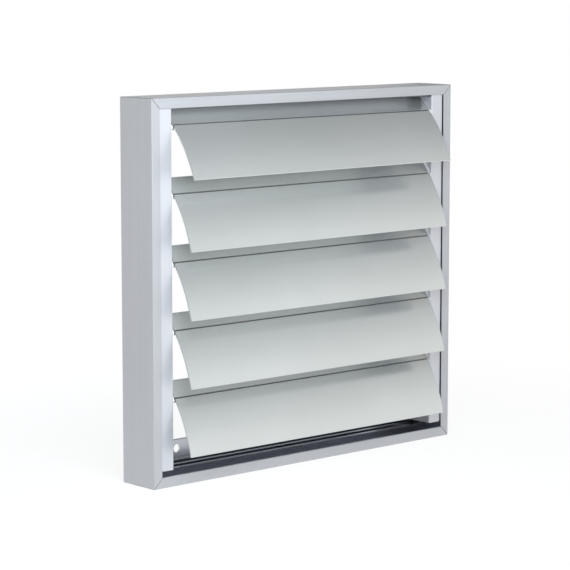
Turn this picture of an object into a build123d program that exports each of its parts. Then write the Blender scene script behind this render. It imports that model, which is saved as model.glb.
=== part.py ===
"""Louvred vent grille: a mitred aluminium frame with five curved blades on pivots.

+X runs to the right of someone facing the grille, +Y goes back into the wall and +Z is up.
The origin is the centre of the rear face, which lies against the wall. Sizes are in millimetres.
"""

import os
from math import cos, degrees, radians, sin, tan

from build123d import *

# Frame: outer size and the walls of its extruded section
frame_width = 430.0
frame_height = 400.0
frame_depth = 51.0
frame_wall = 2.0
front_flange = 11.0
rear_flange = 36.5
frame_edge_radius = 0.8

# Two hooked ribs inside the section make the channel that the corner cleats sit in
rib_wall = 1.6
rib_height = 12.8
rib_hook = 5.0
front_rib_depth = 26.0
channel_pitch = 14.0

# Mitred corners: how far each rail stops short of the corner, and the angle piece behind the joint
mitre_gap = 0.35
cleat_arm = 42.0
cleat_clearance = 0.1

# Fixing holes through the rear flange of the top and bottom rails
bolt_hole_radius = 4.5
bolt_spacing_x = 290.0
bolt_edge_distance = 26.5

# Pivot strips: folded channels that stand inside the side rails and carry the bushes
strip_width = 15.2
strip_front_lap = 0.8
strip_wall = 1.4
strip_clearance = 0.1
strip_bend_radius = 0.6
strip_corner_radius = 2.0
strip_top_lap = 1.5
strip_bottom_gap = 6.0

# Countersunk screws that hold each strip to the side rail's rear flange
screw_radius = 1.75
screw_head_angle = 90.0
screw_tip = 2.5
screw_clearance = 0.05
screw_end_distance = 40.0

# Blades: one curved extruded section, hung on a pivot line near its top
blade_pitch = 70.1
blade_end_gap = 2.7
blade_wall = 1.4
blade_radius = 170.0
blade_lip = 21.0
blade_panel = 63.5
top_pivot_drop = 30.6
pivot_setback = 6.5

# Pivot port: the open tube along the back of each blade, and the slot in front of it
port_wall = 1.5
port_offset = 4.0
port_slot = 1.6

# How far each blade leans back at its pivot line, from the top one down: the top one stands widest open
blade_angles = (43.0, 37.0, 36.5, 35.5, 34.5)

# Pivot rods pressed into the ports, running in flanged nylon bushes
rod_radius = 1.5
bush_running_clearance = 0.05
bush_wall = 0.8
bush_flange_radius = 3.8
bush_flange_thickness = 1.2
bush_tail = 3.0

# Places worked out from the sizes above
front_y = -frame_depth
half_width = frame_width / 2
half_height = frame_height / 2
rib_depths = (front_rib_depth, front_rib_depth + channel_pitch)
bolt_spacing_z = frame_height - 2 * bolt_edge_distance

strip_outer_x = half_width - rib_height
strip_inner_x = strip_outer_x - strip_width
strip_front_y = front_y + frame_wall + strip_clearance
strip_depth = -frame_wall - strip_front_y
strip_shoulder = half_height - rib_height
strip_top = half_height - front_flange + strip_top_lap
strip_bottom = -half_height + front_flange + strip_bottom_gap
strip_length = strip_top - strip_bottom
screw_x = -(strip_outer_x - strip_width / 2)
screw_heights = (strip_bottom + screw_end_distance, strip_shoulder - screw_end_distance)
screw_length = frame_wall + strip_wall + screw_tip
screw_head_radius = screw_radius + frame_wall * tan(radians(screw_head_angle / 2))

pivot_y = front_y + pivot_setback
pivot_heights = [half_height - top_pivot_drop - blade_pitch * i for i in range(len(blade_angles))]
blade_length = 2 * (strip_inner_x - blade_end_gap)
lip_angle = degrees(blade_lip / blade_radius)
panel_angle = degrees(blade_panel / blade_radius)
port_radius = rod_radius + port_wall
bush_bore_radius = rod_radius + bush_running_clearance
bush_radius = bush_bore_radius + bush_wall
bush_length = strip_wall + bush_tail
rod_length = blade_length + 2 * (blade_end_gap + bush_length)

os.makedirs("parts", exist_ok=True)


def save(piece, name):
    """Label one finished piece and write it to its own file."""
    piece.part.label = name
    export_step(piece.part, f"parts/{name}.step")


# Frame section: x runs inwards from the outer face, y runs back from the front face
with BuildSketch() as frame_section:
    Rectangle(frame_wall, frame_depth, align=Align.MIN)
    Rectangle(front_flange, frame_wall, align=Align.MIN)
    with Locations((0, frame_depth)):
        Rectangle(rear_flange, frame_wall, align=(Align.MIN, Align.MAX))
    for rib_depth in rib_depths:
        with Locations((0, rib_depth)):
            Rectangle(rib_height, rib_wall, align=(Align.MIN, Align.CENTER))
        with Locations((rib_height, rib_depth)):
            Rectangle(rib_wall, rib_hook, align=(Align.MAX, Align.CENTER))
    front_edge = frame_section.vertices().group_by(Axis.Y)[0]
    rear_tip = frame_section.vertices().group_by(Axis.X)[-1].sort_by(Axis.Y)[0]
    fillet([*front_edge, rear_tip], frame_edge_radius)


def mitred_rail(inward, length, reach):
    """One side of the frame: the section run along its length, with both ends cut at 45 degrees.

    inward points from the rail to the middle of the frame, which is reach away from its outer face.
    """
    run = inward.cross(Vector(0, 1, 0))
    outer_middle = Vector(0, front_y, 0) - inward * reach
    with BuildPart() as rail:
        with BuildSketch(Plane(outer_middle, x_dir=inward, z_dir=run)):
            add(frame_section.sketch)
        extrude(amount=length / 2, both=True)
        for end in (run, -run):
            corner = outer_middle + end * (length / 2 - mitre_gap)
            split(bisect_by=Plane(corner, x_dir=(0, 1, 0), z_dir=inward + end), keep=Keep.BOTTOM)
    return rail.part


# Top and bottom rails, with the four fixing holes shared between them
for name, inward in (("frame_top", Vector(0, 0, -1)), ("frame_bottom", Vector(0, 0, 1))):
    with BuildPart() as level_rail:
        add(mitred_rail(inward, frame_width, half_height))
        with BuildSketch(Plane.XZ):
            with GridLocations(bolt_spacing_x, bolt_spacing_z, 2, 2):
                Circle(bolt_hole_radius)
        extrude(amount=frame_wall, mode=Mode.SUBTRACT)
    save(level_rail, name)

# Side rails, with countersunk holes in the rear face for the strip's screws
with BuildPart() as frame_left:
    add(mitred_rail(Vector(1, 0, 0), frame_height, half_width))
    for screw_z in screw_heights:
        with Locations(Plane((screw_x, 0, screw_z), x_dir=(1, 0, 0), z_dir=(0, 1, 0))):
            Cone(
                screw_radius + screw_clearance,
                screw_head_radius + screw_clearance,
                frame_wall,
                align=(Align.CENTER, Align.CENTER, Align.MAX),
                mode=Mode.SUBTRACT,
            )
save(frame_left, "frame_left")

with BuildPart() as frame_right:
    mirror(frame_left.part, about=Plane.YZ)
save(frame_right, "frame_right")

# Corner cleats: angle pieces that lie in the channel behind each mitre
cleat_thickness = channel_pitch - rib_wall - 2 * cleat_clearance
cleat_width = rib_height - rib_wall - frame_wall - cleat_clearance
cleat_y = front_y + front_rib_depth + channel_pitch / 2
for x_name, x_side in (("left", -1), ("right", 1)):
    for z_name, z_side in (("bottom", -1), ("top", 1)):
        cleat_corner = (x_side * (half_width - frame_wall), cleat_y, z_side * (half_height - frame_wall))
        cleat_plane = Plane(cleat_corner, x_dir=(-x_side, 0, 0), z_dir=(0, -x_side * z_side, 0))
        with BuildPart() as corner_cleat:
            with BuildSketch(cleat_plane):
                Rectangle(cleat_arm, cleat_width, align=Align.MIN)
                Rectangle(cleat_width, cleat_arm, align=Align.MIN)
            extrude(amount=cleat_thickness / 2, both=True)
        save(corner_cleat, f"corner_cleat_{z_name}_{x_name}")

# Pivot strips: a folded channel whose web faces the blades, drawn as its outer outline and one wall.
# The front face laps up behind the top rail, and the rest is notched to stop under the rail's ribs.
strip_plane = Plane((-strip_outer_x, strip_front_y, strip_bottom), x_dir=(1, 0, 0), z_dir=(0, 0, 1))
shoulder_plane = Plane((-strip_outer_x, -frame_wall, strip_shoulder), x_dir=(1, 0, 0), z_dir=(0, 0, 1))
web_plane = Plane((-strip_inner_x, 0, 0), x_dir=(0, 1, 0), z_dir=(1, 0, 0))
pivot_points = [(pivot_y, pivot_z) for pivot_z in pivot_heights]
with BuildPart() as pivot_strip_left:
    with BuildSketch(strip_plane):
        with BuildLine():
            FilletPolyline(
                (-strip_front_lap, 0),
                (strip_width, 0),
                (strip_width, strip_depth),
                (0, strip_depth),
                radius=strip_bend_radius + strip_wall,
            )
            offset(amount=strip_wall, side=Side.LEFT)
        make_face()
    extrude(amount=strip_length)
    with BuildSketch(shoulder_plane):
        Rectangle(strip_width, strip_depth - strip_wall, align=(Align.MIN, Align.MAX))
    extrude(amount=strip_top - strip_shoulder, mode=Mode.SUBTRACT)
    front_corners = pivot_strip_left.edges().filter_by(Axis.Y).group_by(Axis.X)[0].group_by(Axis.Y)[0]
    fillet(front_corners, strip_corner_radius)
    with BuildSketch(web_plane):
        with Locations(*pivot_points):
            Circle(bush_radius)
    extrude(amount=-strip_wall, mode=Mode.SUBTRACT)
    with BuildSketch(Plane.XZ.offset(frame_wall)):
        with Locations(*[(screw_x, screw_z) for screw_z in screw_heights]):
            Circle(screw_radius + screw_clearance)
    extrude(amount=strip_wall, mode=Mode.SUBTRACT)
save(pivot_strip_left, "pivot_strip_left")

with BuildPart() as pivot_strip_right:
    mirror(pivot_strip_left.part, about=Plane.YZ)
save(pivot_strip_right, "pivot_strip_right")

# Strip screws, flush with the rear face
with BuildPart() as strip_screws_left:
    for screw_z in screw_heights:
        with Locations(Plane((screw_x, 0, screw_z), x_dir=(1, 0, 0), z_dir=(0, -1, 0))):
            Cylinder(screw_radius, screw_length, align=(Align.CENTER, Align.CENTER, Align.MIN))
            Cone(screw_head_radius, screw_radius, frame_wall, align=(Align.CENTER, Align.CENTER, Align.MIN))
save(strip_screws_left, "strip_screws_left")

with BuildPart() as strip_screws_right:
    mirror(strip_screws_left.part, about=Plane.YZ)
save(strip_screws_right, "strip_screws_right")

# Nylon bushes: a flange on the blade side of the web and a barrel through it
with BuildPart() as bushes_left:
    with BuildSketch(web_plane):
        with Locations(*pivot_points):
            Circle(bush_flange_radius)
    extrude(amount=bush_flange_thickness)
    with BuildSketch(web_plane):
        with Locations(*pivot_points):
            Circle(bush_radius)
    extrude(amount=-bush_length)
    with BuildSketch(web_plane.offset(bush_flange_thickness)):
        with Locations(*pivot_points):
            Circle(bush_bore_radius)
    extrude(amount=-(bush_flange_thickness + bush_length), mode=Mode.SUBTRACT)
save(bushes_left, "bushes_left")

with BuildPart() as bushes_right:
    mirror(bushes_left.part, about=Plane.YZ)
save(bushes_right, "bushes_right")

# Blade section about the centre of its curve: the lip is above the x axis and the panel below it
with BuildSketch() as blade_section:
    with BuildLine():
        front_face = CenterArc((0, 0), blade_radius, 180 - lip_angle, lip_angle + panel_angle)
        rear_face = CenterArc((0, 0), blade_radius - blade_wall, 180 - lip_angle, lip_angle + panel_angle)
        Line(front_face @ 0, rear_face @ 0)
        Line(front_face @ 1, rear_face @ 1)
    make_face()
    with PolarLocations(blade_radius - blade_wall / 2, 1, start_angle=180 + panel_angle):
        Circle(blade_wall / 2)
    with Locations((port_offset - blade_radius, 0)):
        Circle(port_radius)
        Circle(rod_radius, mode=Mode.SUBTRACT)
    with Locations((-blade_radius, 0)):
        Rectangle(2 * port_offset, port_slot, mode=Mode.SUBTRACT)

# Each blade with its pivot rod
for number, (angle, pivot_z) in enumerate(zip(blade_angles, pivot_heights), start=1):
    to_rear = Vector(0, cos(radians(angle)), -sin(radians(angle)))
    curve_centre = Vector(0, pivot_y, pivot_z) + to_rear * (blade_radius - port_offset)
    with BuildPart() as blade:
        with BuildSketch(Plane(curve_centre, x_dir=to_rear, z_dir=(1, 0, 0))):
            add(blade_section.sketch)
        extrude(amount=blade_length / 2, both=True)
    save(blade, f"blade_{number}")

    with BuildPart() as pivot_rod:
        with Locations((0, pivot_y, pivot_z)):
            Cylinder(rod_radius, rod_length, rotation=(0, 90, 0))
    save(pivot_rod, f"pivot_rod_{number}")
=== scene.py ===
# %% [markdown]
# # A louvred vent grille in a light tent
# The CAD model already has the true shape of every rail, strip, blade and rod. This lesson dresses those
# solids: it gives each one the finish that the real metal or nylon has, models the screws in detail, and
# sets a plain pale studio around the grille.

import math

import bmesh
import bpy
from mathutils import Matrix, Vector


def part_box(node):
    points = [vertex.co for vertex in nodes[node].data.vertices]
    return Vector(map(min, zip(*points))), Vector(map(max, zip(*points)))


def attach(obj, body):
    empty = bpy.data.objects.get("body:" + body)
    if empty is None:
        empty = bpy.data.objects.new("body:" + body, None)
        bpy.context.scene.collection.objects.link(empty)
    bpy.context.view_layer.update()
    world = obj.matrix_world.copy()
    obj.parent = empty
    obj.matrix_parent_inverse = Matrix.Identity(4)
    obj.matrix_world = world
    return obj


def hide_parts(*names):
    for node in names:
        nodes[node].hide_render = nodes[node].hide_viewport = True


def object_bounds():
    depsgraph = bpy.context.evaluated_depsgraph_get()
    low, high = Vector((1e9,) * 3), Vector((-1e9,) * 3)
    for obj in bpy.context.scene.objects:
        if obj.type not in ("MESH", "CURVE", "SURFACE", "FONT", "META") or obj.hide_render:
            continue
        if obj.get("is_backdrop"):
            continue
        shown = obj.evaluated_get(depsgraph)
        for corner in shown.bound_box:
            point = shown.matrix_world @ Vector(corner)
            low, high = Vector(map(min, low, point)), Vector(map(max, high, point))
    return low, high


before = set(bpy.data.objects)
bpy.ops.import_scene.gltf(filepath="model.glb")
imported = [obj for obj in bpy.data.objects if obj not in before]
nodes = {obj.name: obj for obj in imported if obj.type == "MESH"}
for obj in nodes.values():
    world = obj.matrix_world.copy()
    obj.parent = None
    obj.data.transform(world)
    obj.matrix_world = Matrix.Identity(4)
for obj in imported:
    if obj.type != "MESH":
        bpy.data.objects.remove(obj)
cad_low, cad_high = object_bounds()
print("nodes:", len(nodes), "box:", [round(v, 4) for v in cad_low], [round(v, 4) for v in cad_high])

# %% [markdown]
# ## Colours and nodes
# Paint charts and colour pickers give sRGB hex values, while a shader needs linear light. One function does
# that change. A second one adds a shader node with its settings and its links, so that a material below
# reads as a short list of what the finish is made of. A third starts a new material.

# %% Helpers for every finish
MM = 0.001
# Noise seldom leaves this range
NOISE_LOW = 0.3
NOISE_HIGH = 0.7


def linear(hex_colour):
    """Turn an sRGB hex colour into linear RGBA."""
    parts = [int(hex_colour[i:i + 2], 16) / 255 for i in (1, 3, 5)]
    return [p / 12.92 if p <= 0.04045 else ((p + 0.055) / 1.055) ** 2.4 for p in parts] + [1.0]


def add_node(tree, kind, settings=None, links=None):
    """Add one node. Settings name its properties or input sockets; links join other sockets to it."""
    node = tree.nodes.new(kind)
    for name, value in (settings or {}).items():
        if name in node.inputs:
            node.inputs[name].default_value = value
        else:
            setattr(node, name, value)
    for name, source in (links or {}).items():
        tree.links.new(source, node.inputs[name])
    return node


def start_material(name):
    """Give a new material, its node tree and the shader that it comes with."""
    material = bpy.data.materials.new(name)
    material.use_nodes = True
    return material, material.node_tree, material.node_tree.nodes["Principled BSDF"]


print("mid grey #808080 is", round(linear("#808080")[0], 3), "in linear light")

# %% [markdown]
# ## Anodised extrusion
# The rails are aluminium pushed through a die, etched to a satin and clear anodised. Up close the die leaves
# faint lines along the length, and the etch gives a soft, cool sheen with broad clouds in it. A photograph
# of such metal would repeat along a rail, so both are noise patterns here: one is stretched along the rail
# for the lines, and one is left even for the clouds. The stretch differs for level and upright rails, so the
# run of the rail is an argument.

# %% Frame finish
# Real die lines are finer, but would not show from here
DIE_LINE_WIDTH = 2 * MM
DIE_LINE_LENGTH = 250 * MM
ETCH_CLOUD = 120 * MM
CLOUD_SHARE = 0.45
# Two noises together stray less from the middle than one
BLEND_LOW = 0.35
BLEND_HIGH = 0.65
# An anodised skin is a clear oxide over metal: part mirror, part the white of the etched surface
ANODISED_METALLIC = 0.6
ANODISED_ROUGHNESS = 0.36
ANODISED_GLOSS_SWING = 0.04


def anodised_extrusion(name, light_hex, dark_hex, run):
    """Satin anodised aluminium with faint die lines along the run axis (0 is X, 2 is Z)."""
    material, tree, shader = start_material(name)
    shader.inputs["Metallic"].default_value = ANODISED_METALLIC
    place = add_node(tree, "ShaderNodeTexCoord")
    line_scale = [1 / DIE_LINE_WIDTH] * 3
    line_scale[run] = 1 / DIE_LINE_LENGTH
    lines_at = add_node(tree, "ShaderNodeMapping", {"Scale": line_scale}, {"Vector": place.outputs["Object"]})
    lines = add_node(tree, "ShaderNodeTexNoise", {"Scale": 1.0, "Detail": 3.0},
                     {"Vector": lines_at.outputs[0]})
    clouds = add_node(tree, "ShaderNodeTexNoise", {"Scale": 1 / ETCH_CLOUD, "Detail": 2.0},
                      {"Vector": place.outputs["Object"]})
    blend = add_node(tree, "ShaderNodeMix", {"Factor": CLOUD_SHARE},
                     {"A": lines.outputs[0], "B": clouds.outputs[0]})
    tint = add_node(tree, "ShaderNodeValToRGB", links={"Fac": blend.outputs[0]})
    tint.color_ramp.elements[0].position = BLEND_LOW
    tint.color_ramp.elements[0].color = linear(dark_hex)
    tint.color_ramp.elements[1].position = BLEND_HIGH
    tint.color_ramp.elements[1].color = linear(light_hex)
    # The lines scatter a highlight a little more in their hollows
    gloss = add_node(tree, "ShaderNodeMapRange",
                     {"From Min": NOISE_LOW, "From Max": NOISE_HIGH,
                      "To Min": ANODISED_ROUGHNESS - ANODISED_GLOSS_SWING,
                      "To Max": ANODISED_ROUGHNESS + ANODISED_GLOSS_SWING}, {"Value": lines.outputs[0]})
    relief = add_node(tree, "ShaderNodeBump", {"Strength": 0.06, "Distance": 0.1 * MM},
                      {"Height": lines.outputs[0]})
    tree.links.new(tint.outputs["Color"], shader.inputs["Base Color"])
    tree.links.new(gloss.outputs[0], shader.inputs["Roughness"])
    tree.links.new(relief.outputs[0], shader.inputs["Normal"])
    return material


def dress(names, material):
    """Give the named CAD nodes one material."""
    for name in names:
        mesh = nodes[name].data
        mesh.materials.clear()
        mesh.materials.append(material)
    print(material.name, "on", ", ".join(names))


RAIL_LIGHT = "#B7B8BB"
RAIL_DARK = "#B0B1B4"
level_rail = anodised_extrusion("anodised_aluminium_level_rail", RAIL_LIGHT, RAIL_DARK, 0)
upright_rail = anodised_extrusion("anodised_aluminium_upright_rail", RAIL_LIGHT, RAIL_DARK, 2)
dress(["frame_top", "frame_bottom"], level_rail)
dress(["frame_left", "frame_right"], upright_rail)

# %% [markdown]
# ## Inside of the rails
# Only the outer faces of a rail are finished for show. The inner walls of its channel stay closer to how the
# die left them: bare metal, almost a mirror, with sharp bright and dark streaks. One material can show both
# finishes. A Mapping node shrinks the hollow of the frame to a box that reaches from -1 to 1 on each axis,
# so the largest of a point's three coordinates, without their signs, tells whether it lies inside.

# %% Bare inner walls
RAIL_WALL = 2 * MM
BARE_HEX = "#BEC1C8"
BARE_METALLIC = 1.0
BARE_ROUGHNESS = 0.24
# One finish gives way to the other over this much of the box, well within a wall
FINISH_EDGE = 0.001
rails_low = Vector(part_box("frame_left")[0])
rails_high = Vector(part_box("frame_right")[1])
rails_middle = (rails_low + rails_high) / 2
# The hollow starts half a wall in from every outer face
half_hollow = (rails_high - rails_low - Vector([RAIL_WALL] * 3)) / 2


def bare_inside(material):
    """Change a rail's finish to bare metal on the inner walls of its channel."""
    tree = material.node_tree
    shader = tree.nodes["Principled BSDF"]
    place = add_node(tree, "ShaderNodeTexCoord")
    shrunk = add_node(tree, "ShaderNodeMapping",
                      {"vector_type": "TEXTURE", "Location": rails_middle, "Scale": half_hollow},
                      {"Vector": place.outputs["Object"]})
    distances = add_node(tree, "ShaderNodeVectorMath", {"operation": "ABSOLUTE"}, {0: shrunk.outputs[0]})
    each = add_node(tree, "ShaderNodeSeparateXYZ", links={"Vector": distances.outputs[0]})
    larger = add_node(tree, "ShaderNodeMath", {"operation": "MAXIMUM"},
                      {0: each.outputs["X"], 1: each.outputs["Y"]})
    largest = add_node(tree, "ShaderNodeMath", {"operation": "MAXIMUM"},
                       {0: larger.outputs[0], 1: each.outputs["Z"]})
    inside = add_node(tree, "ShaderNodeMapRange",
                      {"From Min": 1.0, "From Max": 1.0 + FINISH_EDGE, "To Min": 1.0, "To Max": 0.0},
                      {"Value": largest.outputs[0]})
    tint = add_node(tree, "ShaderNodeMix", {"data_type": "RGBA", "B": linear(BARE_HEX)},
                    {"Factor": inside.outputs[0], "A": shader.inputs["Base Color"].links[0].from_socket})
    gloss = add_node(tree, "ShaderNodeMix", {"B": BARE_ROUGHNESS},
                     {"Factor": inside.outputs[0], "A": shader.inputs["Roughness"].links[0].from_socket})
    metal = add_node(tree, "ShaderNodeMapRange", {"To Min": ANODISED_METALLIC, "To Max": BARE_METALLIC},
                     {"Value": inside.outputs[0]})
    tree.links.new(tint.outputs["Result"], shader.inputs["Base Color"])
    tree.links.new(gloss.outputs[0], shader.inputs["Roughness"])
    tree.links.new(metal.outputs[0], shader.inputs["Metallic"])


for rail_finish in (level_rail, upright_rail):
    bare_inside(rail_finish)
print("half sizes of the hollow:", [round(v, 4) for v in half_hollow])

# %% [markdown]
# ## Pivot strips
# The strips are folded from anodised sheet, a little paler than the rails. Sheet is rolled, so its grain
# also runs along the length, and the same finish serves with two paler colours.

# %% Strip finish
STRIP_LIGHT = "#CBCCD0"
STRIP_DARK = "#C5C6CA"
strip_sheet = anodised_extrusion("anodised_aluminium_folded_sheet", STRIP_LIGHT, STRIP_DARK, 2)
dress(["pivot_strip_left", "pivot_strip_right"], strip_sheet)

# %% [markdown]
# ## Blades
# The blades are the same metal under a thin satin coat of silver grey with a touch of green. The coat is
# smooth, so it mirrors the studio as one long soft gradient. What shows of the extrusion beneath is a faint
# streak along the length, a few millimetres wide. A round grain would look like sand on so smooth a curve,
# so the only fine pattern is that streak, and it works on gloss and relief, not on colour.

# %% Blade finish
STREAK_WIDTH = 4 * MM
STREAK_LENGTH = 300 * MM
# The coat's thickness, and with it the colour, drifts over this length
COAT_DRIFT = 150 * MM
BLADE_LIGHT = "#CDD0CE"
BLADE_DARK = "#C7CAC8"
BLADE_METALLIC = 0.8
BLADE_ROUGHNESS = 0.25
BLADE_GLOSS_SWING = 0.02
blade_coat, tree, shader = start_material("satin_coated_aluminium_blade")
shader.inputs["Metallic"].default_value = BLADE_METALLIC
place = add_node(tree, "ShaderNodeTexCoord")
streaks_at = add_node(tree, "ShaderNodeMapping",
                      {"Scale": (1 / STREAK_LENGTH, 1 / STREAK_WIDTH, 1 / STREAK_WIDTH)},
                      {"Vector": place.outputs["Object"]})
streaks = add_node(tree, "ShaderNodeTexNoise", {"Scale": 1.0, "Detail": 3.0},
                   {"Vector": streaks_at.outputs[0]})
drift = add_node(tree, "ShaderNodeTexNoise", {"Scale": 1 / COAT_DRIFT, "Detail": 2.0},
                 {"Vector": place.outputs["Object"]})
tint = add_node(tree, "ShaderNodeValToRGB", links={"Fac": drift.outputs[0]})
tint.color_ramp.elements[0].position = NOISE_LOW
tint.color_ramp.elements[0].color = linear(BLADE_DARK)
tint.color_ramp.elements[1].position = NOISE_HIGH
tint.color_ramp.elements[1].color = linear(BLADE_LIGHT)
gloss = add_node(tree, "ShaderNodeMapRange",
                 {"From Min": NOISE_LOW, "From Max": NOISE_HIGH,
                  "To Min": BLADE_ROUGHNESS - BLADE_GLOSS_SWING,
                  "To Max": BLADE_ROUGHNESS + BLADE_GLOSS_SWING}, {"Value": streaks.outputs[0]})
relief = add_node(tree, "ShaderNodeBump", {"Strength": 0.05, "Distance": 0.05 * MM},
                  {"Height": streaks.outputs[0]})
tree.links.new(tint.outputs["Color"], shader.inputs["Base Color"])
tree.links.new(gloss.outputs[0], shader.inputs["Roughness"])
tree.links.new(relief.outputs[0], shader.inputs["Normal"])
dress([name for name in nodes if name.startswith("blade")], blade_coat)

# %% [markdown]
# ## Bushes, rods, cleats and screws
# Natural nylon is an off-white with a dull, waxy sheen. The rods are drawn steel, the cleats are left as
# they came off the saw, and the screws have the bright, bluish skin of zinc plating. All four are small, so
# one loop gives each its own colour, gloss and grain size.

# %% Small parts
# Colour, metallic, roughness and grain in millimetres
small_finishes = {
    "moulded_natural_nylon": ("#E3E3E0", 0.0, 0.45, 1.5),
    "drawn_steel_rod": ("#A9ABAF", 1.0, 0.3, 0.8),
    "mill_finish_aluminium": ("#B4B7BC", 1.0, 0.5, 1.2),
    "zinc_plated_steel": ("#BFC3C9", 1.0, 0.28, 0.8),
}
# How dark the painted shade in the grain's hollows gets
PAINTED_HOLLOW_SHADE = 0.92
GRAIN_GLOSS_SWING = 0.06
small = {}
for name, (colour, metallic, roughness, grain_mm) in small_finishes.items():
    small[name], tree, shader = start_material(name)
    shader.inputs["Metallic"].default_value = metallic
    place = add_node(tree, "ShaderNodeTexCoord")
    grain = add_node(tree, "ShaderNodeTexNoise", {"Scale": 1 / (grain_mm * MM), "Detail": 3.0},
                     {"Vector": place.outputs["Object"]})
    # A painted shade: the colour is a little darker where the grain's relief is low, in its hollows
    hollow_shade_colour = [PAINTED_HOLLOW_SHADE * part for part in linear(colour)[:3]] + [1.0]
    tint = add_node(tree, "ShaderNodeMix", {"data_type": "RGBA", "A": hollow_shade_colour, "B": linear(colour)},
                    {"Factor": grain.outputs[0]})
    gloss = add_node(tree, "ShaderNodeMapRange",
                     {"From Min": NOISE_LOW, "From Max": NOISE_HIGH,
                      "To Min": roughness - GRAIN_GLOSS_SWING,
                      "To Max": roughness + GRAIN_GLOSS_SWING}, {"Value": grain.outputs[0]})
    relief = add_node(tree, "ShaderNodeBump", {"Strength": 0.05, "Distance": 0.05 * MM},
                      {"Height": grain.outputs[0]})
    tree.links.new(tint.outputs["Result"], shader.inputs["Base Color"])
    tree.links.new(gloss.outputs[0], shader.inputs["Roughness"])
    tree.links.new(relief.outputs[0], shader.inputs["Normal"])
dress(["bushes_left", "bushes_right"], small["moulded_natural_nylon"])
dress([name for name in nodes if name.startswith("pivot_rod")], small["drawn_steel_rod"])
dress([name for name in nodes if name.startswith("corner_cleat")], small["mill_finish_aluminium"])

# %% [markdown]
# ## Strip screws
# The CAD screws are plain countersunk pegs. A real one has a cross recess in its head and a thread, so it is
# modelled anew at the same size. It needs a head, a cone under the head and a shank, all round, and they can
# be drawn from a single disc.

# %% Screw sizes
HEAD_RADIUS = 3.75 * MM
HEAD_DEPTH = 2.0 * MM
SHANK_RADIUS = 1.75 * MM
ROOT_RADIUS = 1.35 * MM
SCREW_LENGTH = 5.9 * MM
THREAD_PITCH = 0.6 * MM
CROSS_WIDTH = 1.0 * MM
CROSS_LENGTH = 4.0 * MM
CROSS_DEPTH = 1.5 * MM
CROSS_TAPER = 0.7
print("thread turns:", int((SCREW_LENGTH - HEAD_DEPTH) / THREAD_PITCH))

# %% [markdown]
# Four cuts each way across the disc mark out the cross, whose faces are pushed down and drawn in a little.
# The disc's rim is then drawn back, first to the end of the cone and then, ring by ring, to the crests and
# roots of the thread. From outside, rings look the same as a true helix and close far more easily.

# %% Screw shape


def drawn_rim(form, rim, radius, depth):
    """Pull a loop of edges back to a new ring with this radius and depth, and give the ring's edges."""
    made = bmesh.ops.extrude_edge_only(form, edges=rim)["geom"]
    for vert in (part for part in made if isinstance(part, bmesh.types.BMVert)):
        flat = vert.co.xy.normalized() * radius
        vert.co = (flat.x, flat.y, -depth)
    return [part for part in made if isinstance(part, bmesh.types.BMEdge) and part.is_boundary]


def cross_head_screw():
    """One screw along -Z with its head's face at z = 0."""
    form = bmesh.new()
    bmesh.ops.create_circle(form, cap_ends=True, radius=HEAD_RADIUS, segments=32)
    for direction in (Vector((1, 0, 0)), Vector((0, 1, 0))):
        for offset in (-CROSS_LENGTH / 2, -CROSS_WIDTH / 2, CROSS_WIDTH / 2, CROSS_LENGTH / 2):
            everything = form.verts[:] + form.edges[:] + form.faces[:]
            bmesh.ops.bisect_plane(form, geom=everything, plane_co=direction * offset, plane_no=direction)
    rim = [edge for edge in form.edges if edge.is_boundary]
    cross = []
    for face in form.faces:
        near, far = sorted(abs(v) for v in face.calc_center_median().xy)
        if near < CROSS_WIDTH / 2 and far < CROSS_LENGTH / 2:
            cross.append(face)
    sunk = bmesh.ops.extrude_face_region(form, geom=cross)["geom"]
    bmesh.ops.delete(form, geom=cross, context="FACES_ONLY")
    recess_floor = [part for part in sunk if isinstance(part, bmesh.types.BMVert)]
    bmesh.ops.scale(form, vec=(CROSS_TAPER, CROSS_TAPER, 1), verts=recess_floor)
    bmesh.ops.translate(form, vec=(0, 0, -CROSS_DEPTH), verts=recess_floor)
    rim = drawn_rim(form, rim, SHANK_RADIUS, HEAD_DEPTH)
    depth = HEAD_DEPTH
    while depth + THREAD_PITCH < SCREW_LENGTH:
        rim = drawn_rim(form, rim, ROOT_RADIUS, depth + THREAD_PITCH / 2)
        rim = drawn_rim(form, rim, SHANK_RADIUS, depth + THREAD_PITCH)
        depth += THREAD_PITCH
    rim = drawn_rim(form, rim, ROOT_RADIUS, SCREW_LENGTH)
    bmesh.ops.contextual_create(form, geom=rim)
    bmesh.ops.recalc_face_normals(form, faces=form.faces[:])
    return form


one_screw = bpy.data.meshes.new("one_screw")
screw_form = cross_head_screw()
screw_form.to_mesh(one_screw)
screw_form.free()
print("one screw has", len(one_screw.polygons), "faces")

# %% [markdown]
# Each strip has two screws, whose heads lie flush in the rear face. The CAD node's own box gives their
# places: the heads touch its top and bottom. Both screws of a strip become one piece that takes the place of
# the CAD pegs. Its place is in its mesh, so the object itself stays at the origin.

# %% Screws in place


def placed(form, name):
    """Turn a bmesh into an object of the scene."""
    mesh = bpy.data.meshes.new(name)
    form.to_mesh(mesh)
    form.free()
    thing = bpy.data.objects.new(name, mesh)
    bpy.context.scene.collection.objects.link(thing)
    return thing


facing_back = Matrix.Rotation(math.radians(-90), 4, "X")
for side in ("left", "right"):
    low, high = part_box(f"strip_screws_{side}")
    pair = bmesh.new()
    for height in (low[2] + HEAD_RADIUS, high[2] - HEAD_RADIUS):
        already = len(pair.verts)
        pair.from_mesh(one_screw)
        middle = Vector(((low[0] + high[0]) / 2, high[1], height))
        bmesh.ops.transform(pair, matrix=Matrix.Translation(middle) @ facing_back, verts=pair.verts[already:])
    screws = placed(pair, f"cross_head_screws_{side}")
    screws.data.materials.append(small["zinc_plated_steel"])
    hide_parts(f"strip_screws_{side}")
    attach(screws, "frame")
    print(screws.name, "with", len(screws.data.polygons), "faces at y =", round(high[1], 4))
bpy.data.meshes.remove(one_screw)

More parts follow.
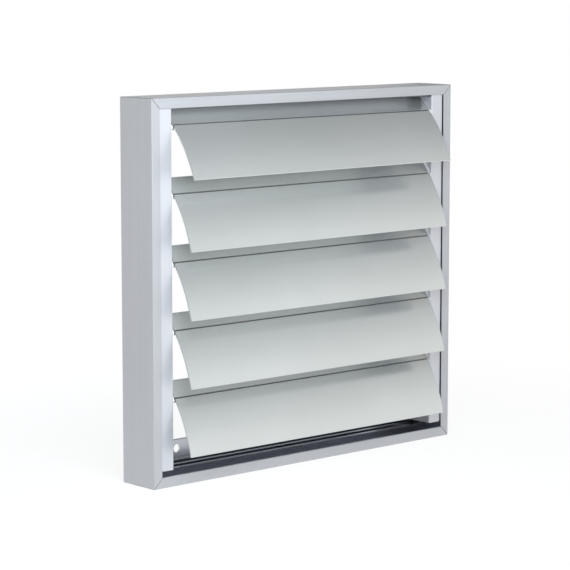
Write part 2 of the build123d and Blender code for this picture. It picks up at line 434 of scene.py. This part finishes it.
# %% [markdown]
# ## Floor
# The floor is a plain pale sheet under the grille. It only needs to be flat and to reach past the edge of
# the picture, so one square face is enough.

# %% White floor
FLOOR_HALF = 4.5
floor_form = bmesh.new()
bmesh.ops.create_grid(floor_form, x_segments=1, y_segments=1, size=FLOOR_HALF)
bmesh.ops.translate(floor_form, vec=(0, 0, cad_low[2]), verts=floor_form.verts[:])
floor = placed(floor_form, "floor")
floor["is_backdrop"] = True
print("floor at z =", round(cad_low[2], 4))

# %% [markdown]
# Light Path tells a shader which kind of ray asks. Camera, glossy and transmission rays look straight at the
# background, so for them the sheet glows at a strength of 1, which is white. All other rays see white paper.
# Near the grille a share of that paper is left in for every ray, so that the floor takes a soft shadow. The
# share fades out with distance, which leaves no seam between the floor and the white behind it.

# %% Paper for the floor
SHADOW_SHARE = 0.12
SHADOW_NEAR = 0.25
SHADOW_FAR = 0.8
floor_white, tree, _ = start_material("white_paper_floor")
tree.nodes.clear()
path = add_node(tree, "ShaderNodeLightPath")
looks_at = add_node(tree, "ShaderNodeMath", {"operation": "MAXIMUM"},
                    {0: path.outputs["Is Camera Ray"], 1: path.outputs["Is Glossy Ray"]})
looks_straight = add_node(tree, "ShaderNodeMath", {"operation": "MAXIMUM"},
                          {0: looks_at.outputs[0], 1: path.outputs["Is Transmission Ray"]})
place = add_node(tree, "ShaderNodeTexCoord")
far_off = add_node(tree, "ShaderNodeVectorMath", {"operation": "LENGTH"}, {0: place.outputs["Object"]})
glow_share = add_node(tree, "ShaderNodeMapRange",
                      {"interpolation_type": "SMOOTHSTEP", "From Min": SHADOW_NEAR, "From Max": SHADOW_FAR,
                       "To Min": 1 - SHADOW_SHARE, "To Max": 1.0}, {"Value": far_off.outputs["Value"]})
share = add_node(tree, "ShaderNodeMath", {"operation": "MULTIPLY"},
                 {0: looks_straight.outputs[0], 1: glow_share.outputs[0]})
paper = add_node(tree, "ShaderNodeBsdfDiffuse", {"Color": linear("#F4F4F4")})
glow = add_node(tree, "ShaderNodeEmission", {"Color": (1, 1, 1, 1), "Strength": 1.0})
sheet = add_node(tree, "ShaderNodeMixShader", links={0: share.outputs[0], 1: paper.outputs[0],
                                                     2: glow.outputs[0]})
add_node(tree, "ShaderNodeOutputMaterial", links={"Surface": sheet.outputs[0]})
floor.data.materials.append(floor_white)
print("floor shadow fades between", SHADOW_NEAR, "and", SHADOW_FAR, "m")

# %% [markdown]
# ## Light tent
# Satin metal shows the room more than its own colour, so the room matters. Photographers put such a thing in
# a tent of white cloth. Here the tent is a large sphere that glows: white low down in front, dimmer overhead
# and behind. The slanting blades then grade from a darker top, which mirrors the roof of the tent, to a
# bright lower edge, which mirrors its front. The camera looks through the cloth.

# %% Tent
TENT_RADIUS = 4.2
TENT_FRONT = 1.09
TENT_ROOF = 0.31
TENT_BACK_SHARE = 0.5
# Where the cloth starts to dim and where it stops, upwards and backwards, as shares of the radius
DIMS_UP = (0.2, 0.75)
DIMS_BACK = (-0.1, 0.6)
tent_form = bmesh.new()
bmesh.ops.create_uvsphere(tent_form, u_segments=64, v_segments=32, radius=TENT_RADIUS)
tent = placed(tent_form, "light_tent")
tent.visible_camera = False
tent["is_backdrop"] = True

tent_cloth, tree, _ = start_material("white_tent_cloth")
tree.nodes.clear()
place = add_node(tree, "ShaderNodeTexCoord")
where = add_node(tree, "ShaderNodeSeparateXYZ", links={"Vector": place.outputs["Object"]})
height = add_node(tree, "ShaderNodeMapRange",
                  {"From Min": DIMS_UP[0] * TENT_RADIUS, "From Max": DIMS_UP[1] * TENT_RADIUS,
                   "To Min": TENT_FRONT, "To Max": TENT_ROOF}, {"Value": where.outputs["Z"]})
behind = add_node(tree, "ShaderNodeMapRange",
                  {"interpolation_type": "SMOOTHSTEP", "From Min": DIMS_BACK[0] * TENT_RADIUS,
                   "From Max": DIMS_BACK[1] * TENT_RADIUS, "To Min": 1.0, "To Max": TENT_BACK_SHARE},
                  {"Value": where.outputs["Y"]})
strength = add_node(tree, "ShaderNodeMath", {"operation": "MULTIPLY"},
                    {0: height.outputs[0], 1: behind.outputs[0]})
cloth = add_node(tree, "ShaderNodeEmission", {"Color": (1, 1, 1, 1)}, {"Strength": strength.outputs[0]})
add_node(tree, "ShaderNodeOutputMaterial", links={"Surface": cloth.outputs[0]})
tent.data.materials.append(tent_cloth)
print("tent radius", TENT_RADIUS, "m, strength", TENT_FRONT, "in front and", TENT_ROOF, "overhead")

# %% [markdown]
# ## Backdrop
# A white card stands upright behind the grille. Light from it comes in through the open back and reaches the
# undersides of the blades, which would otherwise show as dark bands in the blades below them. The camera
# sees through the card, so that the grille can be looked at from behind too.

# %% White card
CARD_WIDTH = 2.6
CARD_HEIGHT = 0.9
CARD_BACK = 1.1
card_form = bmesh.new()
bmesh.ops.create_grid(card_form, x_segments=1, y_segments=1, size=0.5)
bmesh.ops.scale(card_form, vec=(CARD_WIDTH, CARD_HEIGHT, 1), verts=card_form.verts[:])
upright = Matrix.Rotation(math.radians(90), 3, "X")
bmesh.ops.rotate(card_form, cent=(0, 0, 0), matrix=upright, verts=card_form.verts[:])
bmesh.ops.translate(card_form, vec=(0, CARD_BACK, cad_low[2] + CARD_HEIGHT / 2), verts=card_form.verts[:])
card = placed(card_form, "backdrop")
card.visible_camera = False
card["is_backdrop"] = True

card_white, tree, _ = start_material("white_card")
tree.nodes.clear()
glow = add_node(tree, "ShaderNodeEmission", {"Color": (1, 1, 1, 1), "Strength": 1.0})
add_node(tree, "ShaderNodeOutputMaterial", links={"Surface": glow.outputs[0]})
card.data.materials.append(card_white)
print("card", CARD_WIDTH, "by", CARD_HEIGHT, "m")

# %% [markdown]
# ## Two lamps and the world
# A soft key lamp stands close in front, high on the left. It is near enough to fade across the grille, from
# the top left corner to the bottom right. A cool lamp stands behind, past the part of the floor that takes a
# shadow, and sends light in between the blades. Neither shows in the metal as a hot spot, because glossy
# rays pass them by: what the satin mirrors is the tent. Beyond the tent there is only plain white.

# %% Lamps and world
# Place, target, size in metres, watts and colour
LAMPS = {
    "key": ((-0.35, -0.55, 0.33), (0, 0, 0), 0.4, 7.0, (0.83, 0.92, 1.0)),
    "rear": ((0, 0.95, -0.05), (0, 0, 0.08), 0.5, 9.0, (0.62, 0.80, 1.0)),
}
for name, (stand, target, size, watts, colour) in LAMPS.items():
    light = bpy.data.lights.new(name, "AREA")
    light.size = size
    light.energy = watts
    light.color = colour
    lamp = bpy.data.objects.new(name, light)
    bpy.context.scene.collection.objects.link(lamp)
    lamp.location = stand
    lamp.rotation_euler = (Vector(target) - Vector(stand)).to_track_quat("-Z", "Y").to_euler()
    lamp.visible_camera = False
    lamp.visible_glossy = False
    print(name, "lamp", watts, "W at", stand)

world = bpy.data.worlds.new("studio")
bpy.context.scene.world = world
world.use_nodes = True
background = world.node_tree.nodes["Background"]
background.inputs["Color"].default_value = (1, 1, 1, 1)
background.inputs["Strength"].default_value = 1.0

# %% [markdown]
# ## Camera
# The camera stands to the left of the grille and a little above its middle. A long lens from far off keeps
# the edges almost parallel. The angles are measured from straight in front, and the camera is then slid a
# few millimetres aside and down, so that the grille sits in the middle of the picture.

# %% Camera
AZIMUTH = math.radians(-41.94)
ELEVATION = math.radians(7.73)
DISTANCE = 2.526
SLIDE_RIGHT = -9.3 * MM
SLIDE_UP = -10.1 * MM
LENS = 147.66
FAR_CLIP = 50
to_camera = Vector((math.sin(AZIMUTH) * math.cos(ELEVATION), -math.cos(AZIMUTH) * math.cos(ELEVATION),
                    math.sin(ELEVATION)))
to_right = Vector((math.cos(AZIMUTH), math.sin(AZIMUTH), 0))
to_top = to_camera.cross(to_right)
camera = bpy.data.objects.new("camera", bpy.data.cameras.new("camera"))
bpy.context.scene.collection.objects.link(camera)
camera.data.lens = LENS
camera.data.clip_end = FAR_CLIP
camera.location = rails_middle + to_camera * DISTANCE + to_right * SLIDE_RIGHT + to_top * SLIDE_UP
camera.rotation_mode = "QUATERNION"
camera.rotation_quaternion = (-to_camera).to_track_quat("-Z", "Y")
bpy.context.scene.camera = camera
bpy.context.scene.view_settings.view_transform = "Standard"
print("camera at", [round(v, 3) for v in camera.location])

# %% [markdown]
# ## Size
# The dressed grille must be no bigger than the CAD solids, so both boxes are printed.

# %% Print the boxes
low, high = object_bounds()
print("visual box:", [round(v, 4) for v in low], [round(v, 4) for v in high])
